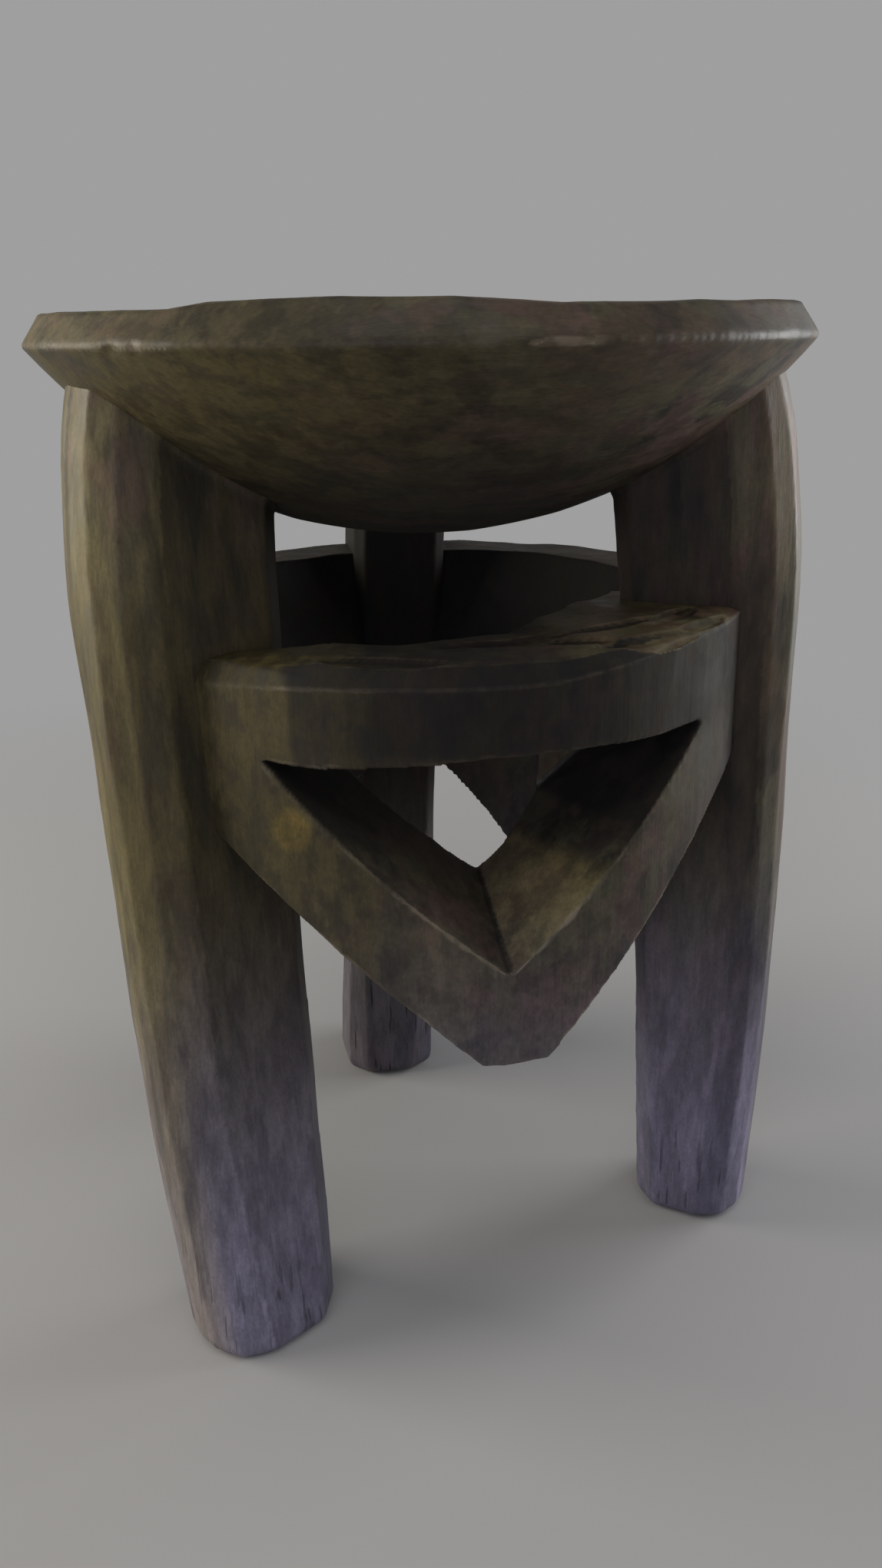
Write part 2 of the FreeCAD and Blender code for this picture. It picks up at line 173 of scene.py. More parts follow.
def add_prism(name, sides, rings, place):
    """Adds an upright prism, cuts it across into rings and moves each corner to its place.

    place(side, share) gives a corner's place from its side's number and its height as a share from 0 to 1.
    """
    bpy.ops.object.select_all(action="DESELECT")
    bpy.ops.mesh.primitive_cylinder_add(vertices=sides, radius=1, depth=1, location=(0, 0, 0.5))
    piece = bpy.context.object
    piece.name = name
    piece.data.name = name
    bpy.ops.object.transform_apply(location=True, rotation=True, scale=True)
    bpy.ops.object.mode_set(mode="EDIT")
    for ring in range(1, rings):
        bpy.ops.mesh.select_all(action="SELECT")
        bpy.ops.mesh.bisect(plane_co=(0, 0, ring / rings), plane_no=(0, 0, 1))
    bpy.ops.object.mode_set(mode="OBJECT")
    # The primitive's first corner lies at +Y, a quarter of a turn round
    for vertex in piece.data.vertices:
        side = round((math.atan2(vertex.co.y, vertex.co.x) / math.tau - 0.25) * sides) % sides
        vertex.co = place(side, vertex.co.z)
    turn_faces_out(piece)
    return piece


def turn_faces_out(piece):
    """Makes every face of a closed piece point outwards."""
    select_only(piece)
    bpy.ops.object.mode_set(mode="EDIT")
    bpy.ops.mesh.select_all(action="SELECT")
    bpy.ops.mesh.normals_make_consistent(inside=False)
    bpy.ops.object.mode_set(mode="OBJECT")


def cut_away(piece, cutter):
    """Cuts one solid out of another and removes the cutter."""
    finish_with(piece, "BOOLEAN", operation="DIFFERENCE", solver="EXACT", object=cutter)
    bpy.data.objects.remove(cutter)


def work_surface(piece, grain, cell, skin):
    """Gives a roughed-out piece an even skin and dresses it with shallow scoops of the adze.

    grain is how far a scoop is drawn out along each axis, cell is a scoop's width and skin the mesh's step.
    """
    finish_with(piece, "REMESH", mode="VOXEL", voxel_size=skin, use_smooth_shade=True)
    finish_with(piece, "SMOOTH", factor=0.5, iterations=1)
    swell = bpy.data.textures.new("Hand swell", "CLOUDS")
    swell.noise_depth = 1
    swell.noise_scale = 1.0
    scoop = bpy.data.textures.new("Adze scoops", "VORONOI")
    scoop.distance_metric = "DISTANCE_SQUARED"
    scoop.noise_scale = 1.0
    for texture, size, strength in ((swell, SWELL_WIDTH * cell, SWELL_DEPTH), (scoop, cell, SCOOP_DEPTH)):
        bpy.ops.object.select_all(action="DESELECT")
        bpy.ops.object.empty_add(type="PLAIN_AXES", location=(0, 0, 0))
        ruler = bpy.context.object
        ruler.scale = [size * stretch for stretch in grain]
        bpy.context.view_layer.update()
        finish_with(piece, "DISPLACE", texture=texture, texture_coords="OBJECT", texture_coords_object=ruler,
                    strength=strength, mid_level=0.5)
        bpy.data.objects.remove(ruler)
        bpy.data.textures.remove(texture)


# Steps of the meshes' skins, and how far the hand's swell and the adze's scoops leave the smooth shape
SEAT_SKIN = 1.7 * MM
LEG_SKIN = 1.35 * MM
PANEL_SKIN = 1.2 * MM
SWELL_DEPTH = 1.4 * MM
SCOOP_DEPTH = 0.8 * MM

# The swell is as wide as this many scoops
SWELL_WIDTH = 4

# How far a scoop is drawn out along each axis, and its width
SEAT_SCOOPS = (1.0, 1.0, 1.0), 32 * MM
LEG_SCOOPS = (0.8, 0.8, 2.8), 20 * MM
PANEL_SCOOPS = (0.9, 0.9, 1.8), 24 * MM

# A post or a bar is cut into this many rings before it is worked
RINGS = 44


def read_rows(collection, name):
    """Three numbers of each item as an array with a row for each."""
    rows = np.empty(len(collection) * 3)
    collection.foreach_get(name, rows)
    return rows.reshape(-1, 3)


def points_of(piece):
    """The piece's vertices as an array."""
    return read_rows(piece.data.vertices, "co")


def normals_of(piece):
    """The piece's vertex normals as an array."""
    return read_rows(piece.data.vertex_normals, "vector")


def move_points(piece, places):
    """Moves the piece's vertices."""
    piece.data.vertices.foreach_set("co", places.ravel())
    piece.data.update()


def store(piece, name, values):
    """Stores one value for each vertex, for the materials to read."""
    attribute = piece.data.attributes.new(name, "FLOAT", "POINT")
    attribute.data.foreach_set("value", np.broadcast_to(values, len(piece.data.vertices)).astype(np.float32))


def mark_wear_and_highlights(piece, skin, extra=-1.0, limit=1.0):
    """Stores how far each vertex stands out from its surroundings, which is where hands rub the wood bare.

    extra is what the piece has besides, worn edges up to 1 and painted highlights from 1 up to 2, and limit
    is the most that the rest gives.
    """
    count = len(piece.data.vertices)
    edges = np.empty(len(piece.data.edges) * 2, dtype=np.int64)
    piece.data.edges.foreach_get("vertices", edges)
    edges = edges.reshape(-1, 2)
    ends = np.concatenate((edges, edges[:, ::-1]))
    neighbours = np.bincount(ends[:, 0], minlength=count).reshape(-1, 1)
    start = points_of(piece)
    smooth = start
    for _ in range(round((WEAR_REACH / skin) ** 2)):
        sums = [np.bincount(ends[:, 0], weights=smooth[ends[:, 1], axis], minlength=count)
                for axis in range(3)]
        smooth = np.stack(sums, axis=1) / np.maximum(neighbours, 1)
    proud = ((start - smooth) * normals_of(piece)).sum(axis=1)
    store(piece, "wear_and_highlight", np.clip(np.maximum(np.minimum(proud / WEAR_HEIGHT, limit), extra), -1, 2))


# Wear is judged against the surface about this far round, and is full where an edge stands out by this much
WEAR_REACH = 2.4 * MM
WEAR_HEIGHT = 0.42 * MM


def smoothstep(low, high, values):
    """Rises smoothly from 0 to 1 between two limits."""
    share = np.clip((values - low) / (high - low), 0, 1)
    return share * share * (3 - 2 * share)


def turned(x, y, turn):
    """Coordinates turned about the upright axis, for numbers and arrays alike."""
    return x * math.cos(turn) - y * math.sin(turn), x * math.sin(turn) + y * math.cos(turn)


def smooth_curve(places, values, at):
    """The value at a place on the smooth curve through the given ones."""
    places, values = np.asarray(places), np.asarray(values)
    slopes = np.gradient(values, places)
    index = min(max(int(np.searchsorted(places, at)) - 1, 0), len(places) - 2)
    span = places[index + 1] - places[index]
    share = (at - places[index]) / span
    rest = 1 - share
    return (values[index] * (1 + 2 * share) * rest ** 2 + values[index + 1] * (3 - 2 * share) * share ** 2
            + span * share * rest * (slopes[index] * rest - slopes[index + 1] * share))


# Seat

def bowl_height(radius, sizes):
    """Height of the bowl's surface at a distance from the axis: a cap of a sphere."""
    arris = sizes.height - sizes.band_height
    sphere = (sizes.rim_radius ** 2 + sizes.bowl_depth ** 2) / (2 * sizes.bowl_depth)
    return arris - sizes.bowl_depth + sphere - np.sqrt(np.maximum(sphere ** 2 - radius ** 2, 0))


def dish_height(radius, sizes):
    """Height of the dish's surface at a distance from the axis."""
    edge = sizes.rim_radius - sizes.band_lean - sizes.flat_width
    return sizes.height - sizes.dish_depth * (1 - (radius / edge) ** 2)


# How far the rim's top stands above its mean height, in mm, at angles round the seat in degrees
RIM_WAVE_ANGLES = (-180, -145, -133, -127, -113, -97, -89, -84, -68, -50, -20, 30, 90, 140, 180)
RIM_WAVE_MM = (-0.6, -1.9, -1.7, 0.3, 0.7, 0.4, -0.8, -1.9, -1.7, -0.8, -0.4, 0.5, -0.5, 0.4, -0.6)


def build_seat(sizes):
    """Extrudes the seat ring by ring, up the bowl, round the rim and down into the dish."""
    edge = sizes.rim_radius - sizes.band_lean
    bowl = [sizes.rim_radius * step / SEAT_STEPS for step in range(2, SEAT_STEPS)]
    profile = [(radius, float(bowl_height(radius, sizes))) for radius in bowl]
    profile += [(sizes.rim_radius, sizes.height - sizes.band_height), (edge, sizes.height)]
    dish = [(edge - sizes.flat_width) * step / SEAT_STEPS for step in range(SEAT_STEPS, 1, -1)]
    profile += [(radius, float(dish_height(radius, sizes))) for radius in dish]

    bpy.ops.object.select_all(action="DESELECT")
    first_radius, first_height = profile[0]
    bpy.ops.mesh.primitive_circle_add(vertices=SEAT_SIDES, radius=first_radius,
                                      location=(0, 0, first_height), fill_type="NGON")
    seat = bpy.context.object
    seat.name = "carved_seat"
    seat.data.name = "carved_seat"
    bpy.ops.object.transform_apply(location=True, rotation=True, scale=True)
    bpy.ops.object.mode_set(mode="EDIT")
    bpy.ops.mesh.select_all(action="SELECT")
    for (old_radius, old_height), (radius, height) in zip(profile, profile[1:]):
        rise = {"value": (0, 0, height - old_height)}
        bpy.ops.mesh.extrude_region_move(TRANSFORM_OT_translate=rise)
        share = radius / old_radius
        bpy.ops.transform.resize(value=(share, share, 1), center_override=(0, 0, height))
    bpy.ops.object.mode_set(mode="OBJECT")
    turn_faces_out(seat)
    work_surface(seat, *SEAT_SCOOPS, SEAT_SKIN)

    # The rim's top rises and falls where the blade ran with or against the grain
    places = points_of(seat)
    turn = np.degrees(np.arctan2(places[:, 1], places[:, 0]))
    radius = np.hypot(places[:, 0], places[:, 1])
    wave = np.interp(turn, RIM_WAVE_ANGLES, RIM_WAVE_MM) * MM
    arris = sizes.height - sizes.band_height
    share = radius / sizes.rim_radius
    places[:, 2] += wave * smoothstep(arris, sizes.height, places[:, 2]) * smoothstep(0.6, 0.9, share)

    # Small chips have been knocked off the arris
    for chip_turn, chip_width, depth in RIM_CHIPS:
        off = (turn - chip_turn + 180) % 360 - 180
        near = np.exp(-((off / chip_width) ** 2) - ((places[:, 2] - arris + CHIP_DROP) / CHIP_HEIGHT) ** 2)
        places[:, :2] *= (1 - near * (share > 0.93) * depth * MM / sizes.rim_radius)[:, None]
    move_points(seat, places)

    # Two stretches of the arris get a painted highlight, and its right side is less worn
    painted_highlight = sum(smoothstep(HIGHLIGHT_FADE, 0, np.abs(turn - middle) - reach) for middle, reach in RIM_HIGHLIGHTS)
    painted_highlight *= np.exp(-((places[:, 2] - arris + HIGHLIGHT_DROP) / HIGHLIGHT_HEIGHT) ** 2) * (share > 0.965)
    less_worn = smoothstep(-75, -60, turn) * smoothstep(20, 0, turn)
    mark_wear_and_highlights(seat, SEAT_SKIN, np.where(painted_highlight > 0.2, 2 * painted_highlight, -1), 0.6 - 0.3 * less_worn)

    # Under the bowl the middle gets painted shade, less of it on the right; the dish is rubbed by the sitter
    down = smoothstep(0.1, -0.3, normals_of(seat)[:, 2])
    side = smoothstep(0.02, 0.13, places[:, 0])
    store(seat, "painted_shade", down * smoothstep(0.99, 0.60, share) * (0.62 - 0.48 * side))
    dish = smoothstep(0.3, 0.8, normals_of(seat)[:, 2]) * (share < 0.93)
    # The left of the stool is warm tan, partly painted warm light, most on the underside
    left = smoothstep(0.02, -0.14, places[:, 0] + 0.2 * places[:, 1])
    store(seat, "dust_and_cool_light", 0.0)
    store(seat, "warmth", np.maximum(dish * 0.3, left * (1 - dish) * (0.45 + 0.4 * down)))
    store(seat, "figure", dish)
    # Painted light: the bowl's right underside and the rim's far left are painted paler; the dish pales
    # towards the flat
    tone = 0.5 + 0.75 * down * side + dish * (0.35 * smoothstep(0.4, 0.9, share) - 0.1)
    tone += (1 - dish) * (1 - down) * smoothstep(-0.11, -0.165, places[:, 0]) * 0.4
    store(seat, "tone", tone)
    return seat


# Steps from the middle to the rim, below and above, and sides of the rim
SEAT_STEPS = 28
SEAT_SIDES = 180

# Middle and half length in degrees of the stretches where the arris gets a painted highlight, how many
# degrees further the highlight fades, and how far below the arris it lies and how high it is
RIM_HIGHLIGHTS = ((-134.7, 3.6), (-84.2, 3.4))
HIGHLIGHT_FADE = 3
HIGHLIGHT_DROP = 0.6 * MM
HIGHLIGHT_HEIGHT = 1.0 * MM

# Angle in degrees, half width in degrees and depth in mm of each chip, and how far below the arris the chips
# lie and how high they are
RIM_CHIPS = ((-140.0, 1.6, 1.4), (-136.0, 0.9, 1.0), (-88.5, 2.4, 0.9), (-84.0, 1.2, 0.7), (12.0, 1.5, 1.2),
             (74.0, 1.1, 1.3), (133.0, 2.0, 1.0))
CHIP_DROP = 1.0 * MM
CHIP_HEIGHT = 2.2 * MM


# Legs

# Stations of a leg, as shares of the arris height, with the sizes there in mm: how far the outer side
# lies in from the rim, the depth towards the axis and the width
STATION_SHARES = (0.0, 0.30, 0.60, 0.86, 0.94, 1.0)
INSETS_MM = (8.0, 1.6, 0.6, 3.4, 9.0, 17.0)
DEPTHS_MM = (63.6, 70.0, 76.2, 80.0, 77.5, 72.0)
WIDTHS_MM = (59.9, 52.6, 50.6, 52.4, 53.6, 54.8)

# Half of a leg's outline at the foot and above it, from the inner side outwards, as shares of its depth
# and of half its width. Each corner is the arris between two adzed facets
FOOT_OUTLINE_SHARES = ((0.00, 0.45), (0.17, 0.90), (0.60, 1.02), (0.84, 0.86), (0.965, 0.50), (1.00, 0.16))
LEG_OUTLINE_SHARES = ((0.00, 0.74), (0.09, 0.97), (0.69, 1.08), (0.87, 0.92), (0.975, 0.55), (1.00, 0.17))

# Each leg's place: the angle of its top in degrees, how far its foot stands aside and out in mm, and how
# large its foot is against the common one
LEG_PLACES = {
    "left": (200.7, 40.1, -2.7, 1.08),
    "right": (-29.0, 26.2, 10.0, 0.91),
    "back": (84.8, 19.8, -1.5, 1.023),
}


def leg_outline(corner, share):
    """A corner of a leg's outline at a height, as shares of its depth and of half its width."""
    half = len(LEG_OUTLINE_SHARES)
    index, side = (corner, 1) if corner < half else (2 * half - 1 - corner, -1)
    blend = min(share / STATION_SHARES[1], 1)
    foot, shaft = FOOT_OUTLINE_SHARES[index], LEG_OUTLINE_SHARES[index]
    along = foot[0] + (shaft[0] - foot[0]) * blend
    across = foot[1] + (shaft[1] - foot[1]) * blend
    return along, across * side


def build_leg(leg, seat, sizes):
    """Sets a twelve-sided post on the leg's stations, seats it against the bowl and works its surface."""
    degrees, aside_mm, out_mm, scale = LEG_PLACES[leg]
    turn = math.radians(degrees)
    arris = seat.height - seat.band_height
    corners = 2 * len(LEG_OUTLINE_SHARES)
    seed = LEGS.index(leg) * 10

    def place(side, share):
        fade = 1 - share
        grow = 1 + (scale - 1) * fade
        inset = smooth_curve(STATION_SHARES, INSETS_MM, share) * MM
        depth = smooth_curve(STATION_SHARES, DEPTHS_MM, share) * MM
        width = smooth_curve(STATION_SHARES, WIDTHS_MM, share) * MM
        middle = seat.rim_radius - inset - depth / 2 + out_mm * MM * fade
        along, across = leg_outline(side, share)
        outwards, sideways = (noise.noise(Vector((seed + shift, side * 3.1, share * 6.0)))
                              for shift in WAVER_SHIFTS)
        x = middle + (along - 0.5) * depth * grow + outwards * sizes.waver
        y = across * width / 2 * grow + aside_mm * MM * fade + sideways * sizes.waver
        return Vector((*turned(x, y, turn), share * arris))

    post = add_prism(f"carved_leg_{leg}", corners, RINGS, place)
    work_surface(post, *LEG_SCOOPS, LEG_SKIN)

    # The sole's edge is worn round
    places = points_of(post)
    middle = places[places[:, 2] < sizes.sole_round, :2].mean(axis=0)
    low = np.clip(1 - places[:, 2] / sizes.sole_round, 0, 1)
    pull = sizes.sole_round * (1 - np.sqrt(1 - low ** 2))
    away = places[:, :2] - middle
    reach = np.maximum(np.hypot(away[:, 0], away[:, 1]), 1 * MM)
    places[:, :2] -= away * (pull / reach)[:, None] * SOLE_PULL
    places[:, 2] = np.maximum(places[:, 2], 0)
    move_points(post, places)
    low_edge = post.vertex_groups.new(name="low edge")
    soft_height = 3 * sizes.sole_round
    for index in np.flatnonzero(places[:, 2] < soft_height):
        low_edge.add([int(index)], 1 - places[index, 2] / soft_height, "REPLACE")
    finish_with(post, "SMOOTH", factor=0.5, iterations=SOLE_SMOOTHING, vertex_group="low edge")
    post.vertex_groups.clear()
    places = points_of(post)
    places[:, 2] = np.maximum(places[:, 2], 0)

    # The top flares softly into the bowl
    under = bowl_height(np.hypot(places[:, 0], places[:, 1]), seat)
    gap = np.clip((under - places[:, 2]) / sizes.fillet, 0, 1)
    flare = sizes.fillet * FLARE_SHARE * (1 - gap) ** 2
    level = np.clip(places[:, 2] / arris, 0, 1)
    away = places[:, :2] - centre_of(leg, level, seat)
    reach = np.maximum(np.hypot(away[:, 0], away[:, 1]), 1 * MM)
    away /= reach[:, None]
    flare *= smoothstep(0.6, 0.0, away[:, 0] * math.cos(turn) + away[:, 1] * math.sin(turn))
    places[:, :2] += away * flare[:, None]
    under = bowl_height(np.hypot(places[:, 0], places[:, 1]), seat)
    places[:, 2] = np.minimum(places[:, 2], under + sizes.bury)
    move_points(post, places)
    mark_wear_and_highlights(post, LEG_SKIN)

    # Each facet has its own tone, which changes slowly along it; the lit side is painted paler near the foot
    level = np.clip(places[:, 2] / arris, 0, 1)
    away = places[:, :2] - centre_of(leg, level, seat)
    facing = (np.arctan2(away[:, 1], away[:, 0]) - turn + math.pi) % math.tau - math.pi
    outline = np.array([[leg_outline(corner, share) for corner in range(corners)] for share in (0, 0.3)])
    half_depth, half_width = np.array(DEPTHS_MM) / 2, np.array(WIDTHS_MM) / 2
    turns = [np.arctan2(row[:, 1] * half_width[index], (row[:, 0] * 2 - 1) * half_depth[index])
             for index, row in enumerate(outline)]
    blend = np.clip(level / STATION_SHARES[1], 0, 1)
    outer, reach, fade = (math.radians(value) for value in LIT_SIDE)
    lit_side = smoothstep(reach + fade, reach, np.abs(facing - outer))
    height = places[:, 2]
    tone = facet_tone(height, facing, turns, blend, seed)
    store(post, "tone", tone + lit_side * smoothstep(0.25, 0.06, height) * 0.45)

    # Painted shade darkens the inner side, most high up under the seat; the left of the stool is warm tan,
    # partly painted warm light; the feet are cool grey, partly a dusting and partly painted cool light, where
    # dark checks have opened
    normals = normals_of(post)
    outward = normals[:, 0] * math.cos(turn) + normals[:, 1] * math.sin(turn)
    reach, depth = LEG_PAINTED_SHADE[leg]
    painted_shade = smoothstep(reach, reach - 1.3, outward) * (0.15 + 0.85 * smoothstep(0.12, 0.30, height)) * depth
    store(post, "painted_shade", np.clip(painted_shade, 0, 1))
    left = smoothstep(0.05, -0.10, places[:, 0] + 0.2 * places[:, 1])
    store(post, "warmth", left * 0.8 * (1 - 0.5 * smoothstep(*SHEEN_RISE, height)))
    if leg == "back":
        store(post, "dust_and_cool_light", 0.5)
        store(post, "checked", smoothstep(0.15, 0.07, height))
    else:
        store(post, "dust_and_cool_light", 1 - 0.6 * lit_side)
        store(post, "checked", smoothstep(0.085, 0.02, height) * 0.6)
    return post


def facet_tone(height, facing, turns, blend, seed):
    """A tone for each vertex, which jumps at the arrises and drifts along each facet.

    0 is dark and 1.5 is pale; a painted sheen lightens the facets beside the outer one high up, and painted
    floor light lightens the foot.
    """
    corner_turns = np.sort(turns[0] + (turns[1] - turns[0]) * blend[:, None], axis=1)
    facet = (facing[:, None] > corner_turns).sum(axis=1) % len(turns[0])
    along = height / TONE_LENGTH
    step = np.floor(along)
    share = smoothstep(0, 1, along - step)

    def chance(number):
        """A number from 0 to 1 that looks random and is always the same for a step of a facet."""
        return np.modf(np.abs(np.sin(number * 12.9898 + facet * 78.233 + seed)) * 43758.5453)[0]

    drift = chance(step) * (1 - share) + chance(step + 1) * share
    painted_sheen = smoothstep(*SHEEN_RISE, height) * (np.abs(np.abs(facing) - 0.6) < 0.55)
    foot = smoothstep(0.14, 0.02, height)
    return np.array(FACET_TONES)[facet] + (drift - 0.5) * 0.4 + painted_sheen * 1.15 + foot * 0.15


# Where in the noise the arrises' waver outwards and sideways is read
WAVER_SHIFTS = (0.4, 5.6)

# How much of its rounding the sole's edge is drawn in by, how often it is smoothed and how much of its own
# height the fillet flares out by
SOLE_PULL = 0.7
SOLE_SMOOTHING = 24
FLARE_SHARE = 0.35

# The lit side of a leg, with less cool grey and painted paler near the foot, in degrees: its middle, how far
# it reaches and how far it fades
LIT_SIDE = (14, 10, 34)

# Heights in metres between which the top of a leg gets a painted sheen and its warm tan fades
SHEEN_RISE = (0.34, 0.42)

# A facet's tone drifts from one value to another over this length
TONE_LENGTH = 90 * MM

# The mean tone of each facet, counted from the inner face round, counterclockwise as seen from above; the
# outer facets are paler, partly painted light
FACET_TONES = (0.50, 0.40, 0.48, 0.42, 0.72, 0.95, 0.74, 0.66, 0.54, 0.70, 0.52, 0.40)

# How far round from the inner side the painted shade reaches on each leg, as the outward part of the
# surface's direction, and how black it is there
LEG_PAINTED_SHADE = {"left": (0.72, 0.85), "right": (0.95, 0.66), "back": (1.10, 0.99)}


def centre_of(leg, share, seat):
    """The middle of a leg's section at heights given as shares of the arris height."""
    degrees, aside_mm, out_mm, _ = LEG_PLACES[leg]
    turn = math.radians(degrees)
    inset = np.interp(share, STATION_SHARES, INSETS_MM)
    depth = np.interp(share, STATION_SHARES, DEPTHS_MM)
    x = seat.rim_radius - (inset + depth / 2 - out_mm * (1 - share)) * MM
    y = aside_mm * MM * (1 - share)
    return np.stack(turned(x, y, turn), axis=1)


# Panels

# Each panel's node, with the angle of its middle and its half span in degrees
PANEL_PLACES = {
    "panel_front": (269.82, 64.58),
    "panel_back_right": (30.88, 56.49),
    "panel_back_left": (146.30, 58.94),
}

# The lower edges of the V, in mm from the panel's middle line and above the floor, from the tip outwards
FLANK_RIGHT_MM = ((16.5, 166.0), (53.0, 207.2), (93.4, 254.6), (112.4, 272.2), (150.0, 296.0))
FLANK_LEFT_MM = ((-2.7, 166.0), (-44.8, 205.4), (-80.4, 237.5), (-109.0, 264.0), (-150.0, 296.0))

# The flanks are cut away down to this height, from the first distance from the axis to the second
FLANK_FOOT_MM = 120.0
FLANK_REACH_MM = (30.0, 200.0)

# The window's corners at its mouth and at its inner end, in mm like the V's edges. The inner end's are given
# for the front panel (True) and for the back ones (False), whose ceilings drop inwards
WINDOW_MOUTH_MM = ((3.8, 211.0), (109.1, 305.8), (1.0, 308.1), (-110.2, 298.0))
WINDOW_END_MM = {
    True: ((2.6, 241.7), (79.7, 307.0), (1.0, 308.1), (-76.2, 305.0)),
    False: ((5.0, 232.5), (66.0, 291.0), (1.0, 292.0), (-62.0, 289.0)),
}

# Distances from the axis of the window's mouth and of its inner end
WINDOW_REACH_MM = (155.0, 82.0)

# The back panels' chamfer, the inner face's knee beyond the tip's radius and above the floor, and how far a
# bar's edges waver
CHAMFER_HEIGHT = 8.0 * MM
CHAMFER_DEPTH = 5.0 * MM
KNEE_DEPTH = 12.0 * MM
KNEE_HEIGHT = 300 * MM
BAR_WAVER = 0.9 * MM

# The back panels' windows are narrower than the front one's by these shares, and the back left panel is a
# mirror image
SPREAD_SHARES = {"panel_front": 1.0, "panel_back_right": 0.89, "panel_back_left": 0.926}
MIRRORED = ("panel_back_left",)

# The front panel's outer face bends about a point that lies this far right and forward of the axis
FRONT_CENTRE_MM = (6.4, 10.2)
FRONT_RADIUS_MM = 140.0

# The front panel's top, in mm against its angle in degrees: the inner edge's distance from the axis,
# the height of the top and the height of the chamfer's foot
FRONT_TOP_ANGLES = (-60.0, -52.0, -40.0, -31.0, -16.0, -8.0, 1.0, 9.0, 20.0, 37.0, 60.0)
FRONT_INNER_MM = (122.0, 120.0, 115.0, 110.0, 111.0, 104.0, 99.0, 99.0, 88.5, 84.0, 88.0)
FRONT_TOP_MM = (336.0, 337.0, 341.0, 343.5, 343.5, 343.5, 343.5, 343.2, 345.5, 347.0, 345.5)
FRONT_CHAMFER_MM = (326.0, 328.0, 331.5, 333.5, 335.3, 335.5, 335.7, 336.0, 339.5, 344.0, 344.5)


def outer_face(turn, sizes, is_front):
    """Distance of a panel's outer face from the axis, at an angle from the panel's middle."""
    if not is_front:
        return sizes.ring_radius
    right, forward = (value * MM for value in FRONT_CENTRE_MM)
    towards = right * math.sin(turn) + forward * math.cos(turn)
    across = right * math.cos(turn) - forward * math.sin(turn)
    return towards + math.sqrt((FRONT_RADIUS_MM * MM) ** 2 - across ** 2)


def build_panel(node, sizes):
    """Bends a bar round the ring and cuts the V and its window out of it."""
    middle, half_span = (math.radians(value) for value in PANEL_PLACES[node])
    is_front = node == "panel_front"
    flip = -1 if node in MIRRORED else 1
    seed = list(PANEL_PLACES).index(node) * 7

    def place_bar(side, share):
        turn = (2 * share - 1) * half_span
        degrees = math.degrees(turn)
        outer = outer_face(turn, sizes, is_front)
        inner, top, foot = sizes.top_radius, sizes.ring_height, sizes.ring_height - CHAMFER_HEIGHT
        if is_front:
            inner = np.interp(degrees, FRONT_TOP_ANGLES, FRONT_INNER_MM) * MM
            top = np.interp(degrees, FRONT_TOP_ANGLES, FRONT_TOP_MM) * MM
            foot = np.interp(degrees, FRONT_TOP_ANGLES, FRONT_CHAMFER_MM) * MM
        low = sizes.tip_height - 0.5 * MM
        radius, height = [
            (outer, low), (outer, foot), (outer - CHAMFER_DEPTH, top), (inner, top),
            (min(inner, sizes.tip_radius + KNEE_DEPTH), KNEE_HEIGHT), (sizes.tip_radius, low),
        ][side]
        waver = noise.noise(Vector((seed, side * 2.3, share * 7.0))) * BAR_WAVER
        radius += waver
        height += waver if side in (1, 2, 3) else 0
        return Vector((radius * math.cos(middle + turn), radius * math.sin(middle + turn), height))

    def flat(across, height, reach, spread=1.0):
        """A point in the panel's own upright plane, at a distance out along its middle line."""
        return Vector((*turned(reach, across * flip * spread, middle), height)) * MM

    bar = add_prism(f"carved_{node}", 6, RINGS, place_bar)
    for flank in (FLANK_RIGHT_MM, FLANK_LEFT_MM):
        outline = list(flank) + [(flank[-1][0], FLANK_FOOT_MM), (flank[0][0], FLANK_FOOT_MM)]

        def place_flank(side, share):
            return flat(*outline[side], FLANK_REACH_MM[round(share)])

        cut_away(bar, add_prism("flank cutter", len(outline), 1, place_flank))
    outlines = WINDOW_MOUTH_MM, WINDOW_END_MM[is_front]

    def place_window(side, share):
        end = round(share)
        return flat(*outlines[end][side], WINDOW_REACH_MM[end], SPREAD_SHARES[node])

    cut_away(bar, add_prism("window cutter", 4, 1, place_window))
    work_surface(bar, *PANEL_SCOOPS, PANEL_SKIN)
    if is_front:
        cut_top(bar, sizes)
    mark_wear_and_highlights(bar, PANEL_SKIN, chamfer_highlight(bar, middle) if is_front else -1.0)
    mark_panel(bar, is_front, sizes)
    return bar


# Shallow cuts across the front panel's top: the cut's middle and half length and width in mm, its turn in
# degrees and how deep it goes in mm
TOP_CUTS = (
    (-42.0, -129.0, 26.0, 8.0, -22.0, 2.2),
    (64.0, -127.0, 24.0, 9.0, 12.0, 2.8),
    (40.0, -122.0, 17.0, 6.0, -18.0, 2.0),
    (-84.0, -108.0, 22.0, 15.0, -35.0, 1.6),
    (10.0, -112.0, 28.0, 7.0, 4.0, 1.6),
    (86.0, -96.0, 20.0, 8.0, 40.0, 2.2),
    (58.0, -104.0, 24.0, 5.0, 16.0, 2.0),
    (94.0, -112.0, 16.0, 4.0, 34.0, 1.8),
)

# A cut's steep side is this many times narrower than its easy side
CUT_STEEPNESS = 2.2


